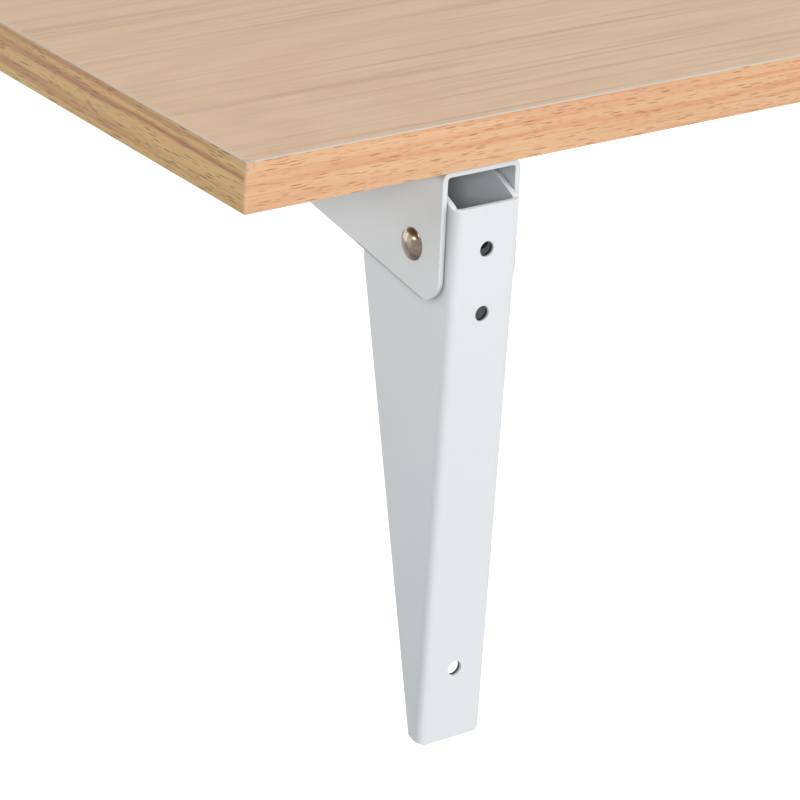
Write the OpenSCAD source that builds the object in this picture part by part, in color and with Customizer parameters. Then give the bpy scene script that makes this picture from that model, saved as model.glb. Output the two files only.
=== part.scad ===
// Wall-mounted folding table: a laminated board on two folding steel brackets.
// Each bracket is a tapered wall channel inside a tapered arm channel, joined by one rivet.
// A sprung latch lever in the arm hooks over a cross pin in the wall channel and holds the
// table open. Pressing the lever's finger tab lets the table hang down against the wall.
//
// Millimetres. The wall is the plane y = 0 and the table reaches out along -y. x = 0 is the
// middle of the table, +z is up, and z = 0 is midway between the top and bottom screw holes.

/* [Tabletop] */
// Length of the board along the wall
top_w = 800; // [700:10:1200]
// Depth of the board from its back edge to its front edge
top_d = 400; // [300:10:600]
// Thickness of the board over both laminates
top_t = 16; // [15:0.5:20]
// Gap between the board's back edge and the wall
back_gap = 4; // [3:0.5:6]
// Thickness of the laminate on each face
laminate_t = 0.4; // [0.3:0.1:1]
// Thickness of the edge bands
band_t = 1; // [0.5:0.1:2]
// Rounding of the edge bands' long corners
band_round = 0.2; // [0.1:0.1:0.5]

/* [Bracket sheet] */
// Distance between the middles of the two brackets
bracket_pitch = 627.6; // [400:0.1:650]
// Thickness of the sheet steel in the channels
sheet = 2; // [1.6:0.1:2.4]
// Outside radius of the bends
bend_r = 3; // [2.6:0.1:4]
// Side gap between the wall channel and the arm channel
side_gap = 0.15; // [0.1:0.05:0.5]

/* [Wall channel] */
// Outside width of the wall channel
wall_w = 24.9; // [24:0.1:30]
// Height of its web, from the bottom end to the top edge
wall_h = 181; // [170:1:240]
// Depth of its flanges at the bottom end
foot_d = 5.5; // [4:0.5:10]
// Rise of the flanges' bottom edge, from the web to the front corner
foot_rise = 1.8; // [0.5:0.1:3]
// Diameter of the wall screw holes
screw_hole_d = 5; // [4:0.1:6]
// Top edge of the web to the top screw hole
top_hole_down = 14; // [10:0.5:18]
// Top screw hole to middle screw hole
middle_hole_down = 21; // [16:0.5:30]
// Top screw hole to bottom screw hole
hole_span = 142; // [110:1:150]

/* [Fold joint] */
// Pivot axis out from the wall
pivot_out = 18; // [17.5:0.1:20]
// Pivot axis below the top edge of the wall channel's web
pivot_down = 16; // [14:0.1:16.5]
// Pivot axis below the underside of the board
pivot_drop = 27; // [26.5:0.1:29]
// Pivot to the widest point of the wall channel's flanges, measured down
widest_down = 14.5; // [13:0.1:16]
// Length of the flanges' straight edge at their widest, parallel to the wall
widest_len = 3.3; // [2:0.1:5]
// Web's inner top edge to the round head that the flanges have about the pivot
head_in = 1.2; // [0.8:0.1:3]
// Gap left under the board at the widest point when the table hangs down
fold_gap = 0.4; // [0.3:0.05:0.8]
// Diameter of the rivet's shank
rivet_d = 6; // [5:0.1:7]
// Diameter of the rivet's domed heads
rivet_head_d = 10.4; // [9:0.1:12]
// Height of the domed heads
rivet_head_h = 2.4; // [2:0.1:3.5]
// Diameter of the spacer tube between the flanges
spacer_d = 12; // [10:0.5:14]
// Radial running clearance of every turning fit
run_fit = 0.05; // [0.03:0.01:0.08]

/* [Arm channel] */
// Back end of the arm channel out from the wall
arm_out = 5; // [4.5:0.1:6]
// Length of the arm channel
arm_len = 205; // [180:1:280]
// Height of the arm channel at its back end
arm_h = 44.3; // [43:0.1:45]
// Height of the arm channel at its front end
tip_h = 8; // [6:0.5:12]
// Lean of the back edge, whose lower end stands nearer the wall, in degrees
ear_lean = 2; // [0:0.5:2]
// Rounding of the lower back corner, which turns past the wall
ear_r = 8.3; // [8.3:0.1:12]
// Diameter of the wood screws' shanks
wood_screw_d = 3.5; // [3:0.1:4.5]
// Diameter of the wood screws' heads
wood_head_d = 7.5; // [6:0.1:9]
// Height of the wood screws' heads
wood_head_h = 2.2; // [1.5:0.1:2.5]
// Length of the wood screws inside the board
wood_depth = 11; // [8:0.5:13]

/* [Latch] */
// Latch pin ahead of the pivot axis
latch_ahead = 52; // [50:0.5:60]
// Latch pin below the inside of the arm's web
latch_hang = 4.3; // [4.3:0.1:5]
// Diameter of the latch pin
latch_pin_d = 4; // [3:0.1:4.5]
// Outside width of the latch lever
lever_w = 17; // [14:0.5:18]
// Distance of the lock pin from the pivot axis
lock_r = 13; // [12.5:0.1:14]
// Angle of the lock pin below level, seen from the pivot axis
lock_angle = 35; // [30:1:38]
// Diameter of the lock pin
lock_pin_d = 4; // [3:0.1:4.5]
// Clearance around the lock pin, seated or passing
lock_gap = 0.3; // [0.2:0.05:0.5]
// Length of the lever from the latch pin to the end of its finger tab
tab_len = 42; // [38:0.5:50]
// Angle of the tab arm below level with the lever pressed
tab_angle = 40; // [35:1:50]
// Diameter of the spring wire
wire_d = 0.9; // [0.7:0.1:1]
// Turns of the latch spring
spring_turns = 6; // [4:1:8]

/* [Hidden] */
$fn = 64;

// Small overlap that makes a cut run past a face
cut = 1;
// Heights of the main levels
wall_top_z = hole_span / 2 + top_hole_down;
wall_bottom_z = wall_top_z - wall_h;
pivot_z = wall_top_z - pivot_down;
board_z = pivot_z + pivot_drop;

// Wall channel: reach of its flanges at their widest, and their round head about the pivot. Two
// straight edges touch the head, from the web's inner top edge and from the top of the widest
// part, and would meet at head_tip, which is measured from the pivot.
wall_d = pivot_out + pivot_drop - fold_gap;
widest_z = pivot_z - widest_down;
low_start = [wall_d - pivot_out, widest_len - widest_down];
high_start = [sheet - pivot_out, pivot_down];
head_r = norm(high_start) - head_in;
low_touch = atan2(low_start[1], low_start[0]) + acos(head_r / norm(low_start));
high_touch = atan2(high_start[1], high_start[0]) - acos(head_r / norm(high_start));
head_tip = head_r / cos((high_touch - low_touch) / 2)
    * [cos((high_touch + low_touch) / 2), sin((high_touch + low_touch) / 2)];
front_slope = (wall_d - foot_d) / (widest_z - wall_bottom_z - foot_rise);

// Arm channel: inside width takes the wall channel, its window clears what pokes past the
// inside of the web and past half of its bends' inside roundings
arm_in_w = wall_w + 2 * side_gap;
arm_w = arm_in_w + 2 * sheet;
web_in = pivot_drop - sheet;
poke = wall_d - pivot_out - web_in + (bend_r - sheet) / 2;
window_from = widest_down - widest_len - poke / tan(low_touch) - 0.4;
window_to = widest_down + poke / front_slope + 1;
// Wood screws: one behind the latch pin, the others share the arm's front part
screw_behind = 22;
screw_y = concat(
    [pivot_out + latch_ahead - screw_behind],
    [for (k = [0:2]) arm_out + arm_len * (0.52 + 0.2 * k)]
);

// Latch lever: cheeks either side of its axis line, on the pivot's side and away from it
lever_in = 2.5;
lever_out = 3.5;
lever_sheet = 2;
hook_t = 2;
latch_rise = web_in - latch_hang;
lock_y = lock_r * cos(lock_angle);
lock_z = lock_r * sin(lock_angle);
// The lever's axis line, pressed, passes clear outside the lock pin's whole path
press_angle = atan2(latch_rise, latch_ahead)
    + asin((lock_r + lock_pin_d / 2 + lock_gap + lever_in) / norm([latch_ahead, latch_rise]));
// The notch that drops over the lock pin, in the lever's own frame
notch_r = lock_pin_d / 2 + lock_gap;
notch_y = notch_r - lever_out + lever_sheet + 0.4;
notch_x = sqrt(pow(latch_ahead - lock_y, 2) + pow(latch_rise + lock_z, 2) - notch_y * notch_y);
seat_angle = atan2(latch_rise + lock_z, latch_ahead - lock_y) + atan2(notch_y, notch_x);
echo(seat_travel = press_angle - seat_angle);
hub_r = latch_hang - 0.3;

// Latch spring: mean radius of the coil and the places of its two legs
coil_r = latch_pin_d / 2 + 0.95 + wire_d / 2;
coil_step = wire_d + 0.25;
leg_len = 20;

// Corners [y, z, radius] to an outline with rounded corners
function flat(p) = [p[0], p[1]];
function unit(v) = v / norm(v);
function turned(v, a) = [v[0] * cos(a) - v[1] * sin(a), v[0] * sin(a) + v[1] * cos(a)];
function corner(before, at, after, steps) =
    let (
        a = unit(flat(before) - flat(at)),
        b = unit(flat(after) - flat(at)),
        half = acos(a * b) / 2,
        centre = flat(at) + unit(a + b) * at[2] / sin(half),
        from = flat(at) + a * at[2] / tan(half) - centre,
        way = cross(a, b) > 0 ? -1 : 1
    )
    at[2] == 0 ? [flat(at)]
        : [for (k = [0:steps]) centre + turned(from, way * (180 - 2 * half) * k / steps)];
function rounded(c, steps = 8) = [
    for (i = [0:len(c) - 1])
        each corner(c[(i + len(c) - 1) % len(c)], c[i], c[(i + 1) % len(c)], steps)
];

// A drawing in y and z becomes a plate of thickness w across x
module across(w) {
    rotate([90, 0, 90])
        linear_extrude(w, center = true)
            children();
}

// A round bar of length w across x, centred on [y, z]
module bar(y, z, d, w) {
    translate([0, y, z])
        rotate([0, 90, 0])
            cylinder(d = d, h = w, center = true);
}

// Cross-section of a bent channel: web along y = 0, flanges reaching down to y = -d
module bent_outline(w, d, r) {
    translate([-w / 2, -d])
        square([w, d - r]);
    translate([r - w / 2, -r - 0.01])
        square([w - 2 * r, r + 0.01]);
    for (s = [-1, 1])
        translate([s * (w / 2 - r), -r])
            circle(r);
}

module channel_section(w, d) {
    difference() {
        bent_outline(w, d, bend_r);
        translate([0, -sheet])
            bent_outline(w - 2 * sheet, d, bend_r - sheet);
    }
}

module at_bracket(side) {
    translate([side * bracket_pitch / 2, 0, 0])
        children();
}

// The two brackets' wood screw places, seen from above the board's underside
module at_wood_screws() {
    for (y = screw_y)
        translate([0, -y, board_z])
            children();
}

// Board: particle core, laminate on both faces and a band on each edge
module board_slab(z, t) {
    translate([-top_w / 2 + band_t, -back_gap - top_d + band_t, z])
        cube([top_w - 2 * band_t, top_d - 2 * band_t, t]);
}

module wood_screw_bores(z, t) {
    for (side = [-1, 1])
        at_bracket(side)
            at_wood_screws()
                translate([0, 0, z - board_z - cut])
                    cylinder(d = wood_screw_d + 2 * run_fit, h = t + cut);
}

module tabletop_core() {
    color("#c9a876")
        difference() {
            board_slab(board_z + laminate_t, top_t - 2 * laminate_t);
            wood_screw_bores(board_z + laminate_t, wood_depth + 0.5);
        }
}

module top_laminate() {
    color("#c8aa8a")
        board_slab(board_z + top_t - laminate_t, laminate_t);
}

module bottom_laminate() {
    color("#c8aa8a")
        difference() {
            board_slab(board_z, laminate_t);
            wood_screw_bores(board_z, laminate_t + cut);
        }
}

// A band of length l along x: flat inner face on y = 0, rounded outer corners
module edge_band(l) {
    across(l)
        polygon(rounded([
            [0, 0, 0], [band_t, 0, band_round],
            [band_t, top_t, band_round], [0, top_t, 0]
        ], 3));
}

module front_edge_band() {
    color("#d7a261")
        translate([0, -back_gap - top_d + band_t, board_z])
            mirror([0, 1, 0])
                edge_band(top_w);
}

module back_edge_band() {
    color("#d7a261")
        translate([0, -back_gap - band_t, board_z])
            edge_band(top_w);
}

module end_edge_band(side) {
    color("#c99a58")
        translate([side * (top_w / 2 - band_t), -back_gap - top_d / 2, board_z])
            rotate([0, 0, -side * 90])
                edge_band(top_d - 2 * band_t);
}

// Wall channel: U of bent sheet, web on the wall, flanges cut to the taper and the round head
module wall_channel() {
    color("#e6ebee")
        difference() {
            intersection() {
                translate([0, 0, wall_bottom_z])
                    linear_extrude(wall_h + 2 * pivot_drop)
                        channel_section(wall_w, wall_d + cut);
                across(wall_w + cut)
                    polygon(rounded([
                        [0, wall_bottom_z, 0],
                        [-foot_d, wall_bottom_z + foot_rise, 0.5],
                        [-wall_d, widest_z, 2],
                        [-wall_d, widest_z + widest_len, 2],
                        [-pivot_out - head_tip[0], pivot_z + head_tip[1], head_r],
                        [-sheet, wall_top_z, 0],
                        [0, wall_top_z, 0]
                    ], 16));
            }
            for (z = [hole_span / 2, hole_span / 2 - middle_hole_down, -hole_span / 2])
                translate([0, cut, z])
                    rotate([90, 0, 0])
                        cylinder(d = screw_hole_d, h = sheet + 2 * cut);
            bar(-pivot_out, pivot_z, rivet_d + 2 * run_fit, wall_w + cut);
            bar(-pivot_out - lock_y, pivot_z - lock_z, lock_pin_d, wall_w + cut);
        }
}

// Lock pin: riveted flush in the wall channel's flanges
module lock_pin() {
    color("#7d7f82")
        bar(-pivot_out - lock_y, pivot_z - lock_z, lock_pin_d, wall_w);
}

// Pivot spacer: tube that keeps the flanges apart under the rivet
module pivot_spacer() {
    color("#3c3f42")
        difference() {
            bar(-pivot_out, pivot_z, spacer_d, wall_w - 2 * sheet);
            bar(-pivot_out, pivot_z, rivet_d + 2 * run_fit, wall_w);
        }
}

// Pivot rivet: shank through both channels, a domed head outside each ear
module rivet_dome() {
    dome_r = (pow(rivet_head_d / 2, 2) + pow(rivet_head_h, 2)) / (2 * rivet_head_h);
    intersection() {
        translate([0, 0, rivet_head_h - dome_r])
            sphere(dome_r);
        cylinder(d = rivet_head_d, h = rivet_head_h + cut);
    }
}

module pivot_rivet() {
    color("#a3927f") {
        bar(-pivot_out, pivot_z, rivet_d, arm_w + 0.02);
        for (side = [-1, 1])
            translate([side * arm_w / 2, -pivot_out, pivot_z])
                rotate([0, side * 90, 0])
                    rivet_dome();
    }
}

// Arm channel: inverted U of bent sheet under the board, ears outside the wall channel
module arm_channel() {
    color("#dfe2e4")
        difference() {
            intersection() {
                translate([0, 0, board_z])
                    rotate([90, 0, 0])
                        linear_extrude(arm_out + arm_len)
                            channel_section(arm_w, arm_h + cut);
                across(arm_w + cut)
                    polygon(rounded([
                        [-arm_out, board_z, 0],
                        [arm_h * tan(ear_lean) - arm_out, board_z - arm_h, ear_r],
                        [-arm_out - arm_len, board_z - tip_h, 3],
                        [-arm_out - arm_len, board_z, 0]
                    ]));
            }
            translate([-arm_in_w / 2, -pivot_out - window_to, board_z - bend_r])
                cube([arm_in_w, window_to - window_from, bend_r + cut]);
            at_wood_screws()
                translate([0, 0, -sheet - cut])
                    cylinder(d = wood_screw_d + 2 * run_fit, h = sheet + 2 * cut);
            bar(-pivot_out, pivot_z, rivet_d, arm_w + cut);
            bar(-pivot_out - latch_ahead, pivot_z + latch_rise, latch_pin_d, arm_w + cut);
        }
}

// Arm screws: four wood screws up through the arm's web into the board
module arm_screws() {
    color("#b9bcbf")
        at_wood_screws() {
            translate([0, 0, -sheet - wood_head_h])
                cylinder(d1 = wood_head_d - 1.6, d2 = wood_head_d, h = wood_head_h / 2);
            translate([0, 0, -sheet - wood_head_h / 2])
                cylinder(d = wood_head_d, h = wood_head_h / 2);
            translate([0, 0, -sheet - 0.01])
                cylinder(d = wood_screw_d, h = sheet + wood_depth - 3);
            translate([0, 0, wood_depth - 3.01])
                cylinder(d1 = wood_screw_d, d2 = 0.6, h = 3);
        }
}

// The latch pin's place. In lever drawings x runs to the nose and y towards the pivot.
module at_latch() {
    translate([0, -pivot_out - latch_ahead, pivot_z + latch_rise])
        children();
}

// Side view of the lever's nose arm, from the pin to the hook
module nose_side() {
    rotate(-press_angle)
        polygon([
            [0, -lever_out],
            [notch_x, -lever_out],
            [notch_x + notch_r + hook_t, -lever_out / 4],
            [notch_x + notch_r + hook_t, lever_in],
            [0, lever_in]
        ]);
}

// Side view of its tab arm, from the pin to the finger tab
module tab_side() {
    rotate(180 + tab_angle)
        polygon(rounded([
            [0, -lever_in, 0],
            [0, lever_out, 0],
            [tab_len + 1, lever_out, 0.8],
            [tab_len + 1, lever_out - lever_sheet - 0.6, 0.3],
            [tab_len - 11, 0, 0]
        ], 4));
}

// All of the side view but the two plates that join the lever's cheeks
module lever_space() {
    difference() {
        circle(2 * tab_len);
        rotate(-press_angle)
            translate([hub_r + 2, -lever_out - cut])
                square([notch_x - hub_r - 2, lever_sheet + cut]);
        rotate(180 + tab_angle)
            translate([hub_r + 2, lever_out - lever_sheet])
                square([tab_len, lever_sheet + cut]);
    }
}

// Latch lever: two cheeks on one bent plate, a notched nose and a finger tab
module latch_lever() {
    color("#55585c")
        at_latch()
            difference() {
                union() {
                    across(lever_w)
                        nose_side();
                    across(lever_w)
                        tab_side();
                    bar(0, 0, 2 * hub_r, lever_w);
                }
                across(lever_w - 2 * lever_sheet)
                    lever_space();
                bar(0, 0, latch_pin_d + 2 * run_fit, lever_w + cut);
                rotate([-press_angle, 0, 0]) {
                    bar(notch_x, notch_y, 2 * notch_r, lever_w + cut);
                    across(lever_w + cut)
                        translate([notch_x - notch_r, notch_y])
                            square([2 * notch_r, lever_in + cut]);
                }
            }
}

// Latch pin: riveted through both ears, with low domed ends
module latch_pin() {
    color("#8b8d90")
        at_latch() {
            bar(0, 0, latch_pin_d, arm_w + 0.02);
            for (side = [-1, 1])
                translate([side * arm_w / 2, 0, 0])
                    rotate([0, side * 90, 0])
                        cylinder(d1 = latch_pin_d + 3, d2 = latch_pin_d, h = 1.2);
        }
}

// Latch bushes: two plain tubes that keep the lever in the middle of the pin
module latch_bushes() {
    bush_w = (arm_in_w - lever_w) / 2 - 0.2;
    color("#e9e6da")
        at_latch()
            for (side = [-1, 1])
                translate([side * (lever_w + arm_in_w) / 4, 0, 0])
                    difference() {
                        bar(0, 0, latch_pin_d + 2.4, bush_w);
                        bar(0, 0, latch_pin_d + 2 * run_fit, bush_w + cut);
                    }
}

// Latch spring: coil about the latch pin, one leg under the arm's web, one on the tab arm
leg_tilt = asin((coil_r + lever_out - lever_sheet - wire_d / 2 - 0.05) / leg_len);
coil_from = 90;
coil_to = 270 + spring_turns * 360 - (90 - tab_angle) + leg_tilt - 90;
function on_coil(a, r) = [r * cos(a), r * sin(a)];
function coil_x(a) = coil_step * ((a - coil_from) / 360 - spring_turns / 2);

// Points [x, y, z] of the wire: first leg, coil, second leg
function wire_path() =
    let (
        steps = 8 * spring_turns,
        first = on_coil(coil_from, coil_r),
        last = on_coil(coil_to, coil_r),
        back = on_coil(coil_from + 90, 1),
        ahead = on_coil(coil_to + 90, 1)
    )
    concat(
        [for (k = [3:-1:1]) concat(coil_x(coil_from), first - back * leg_len / 3 * -k)],
        [for (k = [0:steps]) let (a = coil_from + (coil_to - coil_from) * k / steps)
            concat(coil_x(a), on_coil(a, coil_r))],
        [for (k = [1:3]) concat(coil_x(coil_to), last + ahead * leg_len / 3 * k)]
    );

// A round wire of six sides along points that never run along x
module wire(path, d) {
    sides = 6;
    n = len(path);
    rings = [
        for (i = [0:n - 1])
            let (
                t = unit(path[min(i + 1, n - 1)] - path[max(i - 1, 0)]),
                u = unit([1, 0, 0] - t * t[0]),
                v = cross(t, u)
            )
            for (k = [0:sides - 1])
                path[i] + (u * cos(60 * k) + v * sin(60 * k)) * d / 2
    ];
    walls = [
        for (i = [0:n - 2]) for (k = [0:sides - 1])
            let (a = i * sides + k, b = i * sides + (k + 1) % sides)
            each [[a, b, b + sides], [a, b + sides, a + sides]]
    ];
    ends = concat(
        [for (k = [1:sides - 2]) [0, k + 1, k]],
        [for (k = [1:sides - 2]) [(n - 1) * sides, (n - 1) * sides + k, (n - 1) * sides + k + 1]]
    );
    polyhedron(rings, concat(walls, ends));
}

module latch_spring() {
    color("#9a9da0")
        at_latch()
            wire(wire_path(), wire_d);
}

tabletop_core();
top_laminate();
bottom_laminate();
front_edge_band();
back_edge_band();
end_edge_band(-1);  // left_edge_band
end_edge_band(1);  // right_edge_band
at_bracket(-1) wall_channel();  // left_wall_channel
at_bracket(1) wall_channel();  // right_wall_channel
at_bracket(-1) lock_pin();  // left_lock_pin
at_bracket(1) lock_pin();  // right_lock_pin
at_bracket(-1) pivot_spacer();  // left_pivot_spacer
at_bracket(1) pivot_spacer();  // right_pivot_spacer
at_bracket(-1) pivot_rivet();  // left_pivot_rivet
at_bracket(1) pivot_rivet();  // right_pivot_rivet
at_bracket(-1) arm_channel();  // left_arm_channel
at_bracket(1) arm_channel();  // right_arm_channel
at_bracket(-1) arm_screws();  // left_arm_screws
at_bracket(1) arm_screws();  // right_arm_screws
at_bracket(-1) latch_lever();  // left_latch_lever
at_bracket(1) latch_lever();  // right_latch_lever
at_bracket(-1) latch_pin();  // left_latch_pin
at_bracket(1) latch_pin();  // right_latch_pin
at_bracket(-1) latch_bushes();  // left_latch_bushes
at_bracket(1) latch_bushes();  // right_latch_bushes
at_bracket(-1) latch_spring();  // left_latch_spring
at_bracket(1) latch_spring();  // right_latch_spring
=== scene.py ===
"""Looks of the wall-mounted folding table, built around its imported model, in metres."""
import math

import bmesh
import bpy
import numpy as np
from mathutils import Matrix, Vector
from mathutils.geometry import delaunay_2d_cdt


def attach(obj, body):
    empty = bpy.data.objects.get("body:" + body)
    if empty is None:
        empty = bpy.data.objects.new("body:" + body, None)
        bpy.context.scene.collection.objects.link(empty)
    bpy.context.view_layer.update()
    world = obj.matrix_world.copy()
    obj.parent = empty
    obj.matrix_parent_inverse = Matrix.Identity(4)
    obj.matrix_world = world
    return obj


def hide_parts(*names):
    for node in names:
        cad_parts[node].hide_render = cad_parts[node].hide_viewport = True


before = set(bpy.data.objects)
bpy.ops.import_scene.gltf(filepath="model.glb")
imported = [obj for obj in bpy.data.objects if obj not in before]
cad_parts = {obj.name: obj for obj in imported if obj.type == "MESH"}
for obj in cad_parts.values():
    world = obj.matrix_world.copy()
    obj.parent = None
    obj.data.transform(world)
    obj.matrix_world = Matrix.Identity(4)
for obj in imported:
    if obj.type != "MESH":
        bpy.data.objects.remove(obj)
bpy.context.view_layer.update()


# Room: a pale floor 64 cm under the wall screws, white all round, and soft lamps. The brightest
# stand on the wall's side of the table, as in the photograph, which was taken without a wall. Weaker
# ones light its ends and the room's side, and a small one glints on the rivet.
def node(tree, kind, sockets=(), **settings):
    """A shader node with its settings, and its sockets set to values or linked to outputs."""
    made = tree.nodes.new("ShaderNode" + kind)
    for key, value in settings.items():
        setattr(made, key, value)
    for key, value in dict(sockets).items():
        if isinstance(value, bpy.types.NodeSocket):
            tree.links.new(value, made.inputs[key])
        else:
            made.inputs[key].default_value = value
    return made


def reckon(tree, how, *values):
    """One step of arithmetic on outputs or numbers."""
    return node(tree, "Math", dict(enumerate(values)), operation=how).outputs[0]


def background_rays(tree):
    """1 for rays that show the background: camera, glossy and transmission rays."""
    rays = node(tree, "LightPath").outputs
    either = reckon(tree, "MAXIMUM", rays["Is Camera Ray"], rays["Is Glossy Ray"])
    return reckon(tree, "MAXIMUM", either, rays["Is Transmission Ray"])


room_light = (0.93, 0.97, 1.0, 1)
room_strength = 0.1
world = bpy.data.worlds.new("white_room")
world.use_nodes = True
world.node_tree.nodes.clear()
dim = node(world.node_tree, "Background", {"Color": room_light, "Strength": room_strength})
white = node(world.node_tree, "Background", {"Color": (1, 1, 1, 1), "Strength": 1})
seen = node(world.node_tree, "MixShader", {
    0: background_rays(world.node_tree), 1: dim.outputs[0], 2: white.outputs[0]})
node(world.node_tree, "OutputWorld", {"Surface": seen.outputs[0]})
bpy.context.scene.world = world

floor_z = -0.64
floor_half = 12
floor_mesh = bpy.data.meshes.new("floor")
floor_mesh.from_pydata(
    [(x * floor_half, y * floor_half, floor_z) for x, y in ((-1, -1), (1, -1), (1, 1), (-1, 1))],
    [], [(0, 1, 2, 3)])
floor = bpy.data.objects.new("floor", floor_mesh)
bpy.context.scene.collection.objects.link(floor)
pale = bpy.data.materials.new("pale_floor")
pale.use_nodes = True
tree = pale.node_tree
tree.nodes.clear()
matt = node(tree, "BsdfDiffuse", {"Color": (0.5, 0.5, 0.5, 1)})
glow = node(tree, "Emission", {"Color": (1, 1, 1, 1), "Strength": background_rays(tree)})
lit = node(tree, "AddShader", {0: matt.outputs[0], 1: glow.outputs[0]})
clear = node(tree, "BsdfTransparent")
under = node(tree, "MixShader", {
    0: node(tree, "NewGeometry").outputs["Backfacing"], 1: lit.outputs[0], 2: clear.outputs[0]})
node(tree, "OutputMaterial", {"Surface": under.outputs[0]})
floor_mesh.materials.append(pale)


def lamp(name, place, size, watts, colour, aim=(0.0, -0.1, 0.03), mirrored=True):
    """A square area lamp that faces the table. Unless it is mirrored, no gloss shows it."""
    data = bpy.data.lights.new(name, "AREA")
    data.size = size
    data.energy = watts
    data.color = colour
    made = bpy.data.objects.new(name, data)
    made.location = place
    made.rotation_euler = (Vector(aim) - Vector(place)).to_track_quat("-Z", "Y").to_euler()
    made.visible_glossy = mirrored
    bpy.context.scene.collection.objects.link(made)


bracket_aim = (0.33, 0.0, 0.05)
wall_light, top_light = (0.975, 0.99, 1.0), (1.0, 0.99, 0.97)
end_light, room_side_light = (0.96, 1.0, 0.99), (0.97, 1.0, 0.99)
lamp("wall_side_lamp", (-0.7, 2.3, 0.9), 1.6, 37.5, wall_light, mirrored=False)
lamp("camera_side_lamp", (1.4, 1.6, 0.7), 1.2, 5, wall_light)
lamp("camera_lamp", (1.25, 1.05, 0.6), 0.4, 6.3, wall_light, bracket_aim, mirrored=False)
lamp("top_lamp", (0.2, 0.3, 2.4), 1.4, 21, top_light)
lamp("right_end_lamp", (2.0, -1.5, 0.3), 2.0, 8, end_light)
lamp("left_end_lamp", (-2.2, -0.9, 0.3), 2.0, 18, room_side_light)
lamp("glint_lamp", (2.29, -0.43, 0.68), 0.5, 5.0, end_light, bracket_aim)
lamp("room_side_lamp", (0.9, -2.3, 0.4), 2.0, 15, room_side_light)

# The camera stands behind the wall's plane, beyond the right end, and looks down on the corner.
eye = Vector((0.995783, 0.846095, 0.505376))
to_right = Vector((-0.806746, 0.587624, 0.062114))
to_back = Vector((0.557833, 0.722713, 0.408053))
to_top = to_back.cross(to_right)
camera_data = bpy.data.cameras.new("photo_camera")
camera_data.sensor_width = 36
camera_data.lens = 175.96
camera_data.clip_start = 0.05
camera = bpy.data.objects.new("photo_camera", camera_data)
camera.matrix_world = Matrix.Translation(eye) @ Matrix((to_right, to_top, to_back)).transposed().to_4x4()
bpy.context.scene.collection.objects.link(camera)
bpy.context.scene.camera = camera
bpy.context.scene.view_settings.view_transform = "Standard"


# Wall channels: one bracket half at each end, screwed to the wall through three holes. Each is
# punched from 2 mm steel as a flat blank, folded up along two bends and powder coated white.
mm = 0.001
sides = (("left", -313.8), ("right", 313.8))
sheet_t = 2.0
bend_r = 3.0
bend_len = bend_r * math.pi / 2
paint_round, hole_round = 0.3, 0.12
pivot_out, pivot_z = 18.0, 69.0
board_z = 96.0
wall_top, wall_bottom = 85.0, -96.0
wall_flat = 9.45
head_in = 1.2
head_r = math.hypot(pivot_out - sheet_t, wall_top - pivot_z) - head_in
widest_low, widest_high = (44.6, 54.5), (44.6, 57.8)
foot = (5.5, -94.2)
screw_hole_r = 2.5
screw_hole_z = (71.0, 50.0, -71.0)
rivet_r, bore_r = 3.0, 3.05
lock_r = 2.0
lock_away, lock_angle = 13.0, math.radians(35)
lock_out = pivot_out + lock_away * math.cos(lock_angle)
lock_z = pivot_z - lock_away * math.sin(lock_angle)


def put_mesh(name, points, faces, material):
    """A closed mesh object at the origin: points in millimetres, doubles merged, faces outwards."""
    mesh = bpy.data.meshes.new(name)
    mesh.from_pydata((np.asarray(points) * mm).tolist(), [], faces)
    shape = bmesh.new()
    shape.from_mesh(mesh)
    bmesh.ops.remove_doubles(shape, verts=shape.verts, dist=1e-7)
    bmesh.ops.recalc_face_normals(shape, faces=shape.faces)
    shape.to_mesh(mesh)
    shape.free()
    mesh.shade_smooth()
    mesh.materials.append(material)
    piece = bpy.data.objects.new(name, mesh)
    bpy.context.scene.collection.objects.link(piece)
    return piece


def settle(piece, body, slot, *nodes):
    """The piece rides on its body and stands for these nodes, which are hidden. The slot is not used."""
    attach(piece, body)
    if nodes:
        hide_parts(*nodes)


def quads(rows, cols, wrap_rows, wrap_cols, first=0):
    """Quads between neighbours on a grid of points, which may close on itself either way."""
    i, j = np.meshgrid(
        np.arange(rows if wrap_rows else rows - 1),
        np.arange(cols if wrap_cols else cols - 1), indexing="ij")
    k, m = (i + 1) % rows, (j + 1) % cols
    return first + np.stack([i * cols + j, i * cols + m, k * cols + m, k * cols + j], -1).reshape(-1, 4)


def corner_arc(before, at, after, r, steps=8):
    """Points of a round corner: the circle of radius r that touches both lines at the corner. Its
    centre lies on the line that halves the corner, and its points mix the two end radii by sines."""
    before, at, after = (np.array(p, float) for p in (before, at, after))
    a = (before - at) / np.linalg.norm(before - at)
    b = (after - at) / np.linalg.norm(after - at)
    half = math.acos(np.clip(a @ b, -1, 1)) / 2
    centre = at + (a + b) / np.linalg.norm(a + b) * r / math.sin(half)
    start = at + a * r / math.tan(half) - centre
    stop = at + b * r / math.tan(half) - centre
    share = np.linspace(0, 1, steps + 1)[:, None]
    swing = math.pi - 2 * half
    return centre + (np.sin((1 - share) * swing) * start + np.sin(share * swing) * stop) / math.sin(swing)


def ring(s, h, r, steps=48):
    """A round hole in a blank, listed clockwise."""
    turn = -np.linspace(0, 2 * math.pi, steps, endpoint=False)
    return np.stack([s + r * np.cos(turn), h + r * np.sin(turn)], 1)


def inset(loop, by):
    """The closed loop moved to its left by a distance, with its corners mitred."""
    ahead = np.roll(loop, -1, 0) - loop
    normal = np.stack([-ahead[:, 1], ahead[:, 0]], 1) / np.linalg.norm(ahead, axis=1)[:, None]
    both = normal + np.roll(normal, 1, 0)
    return loop + by * 2 * both / (both**2).sum(1)[:, None]


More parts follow.
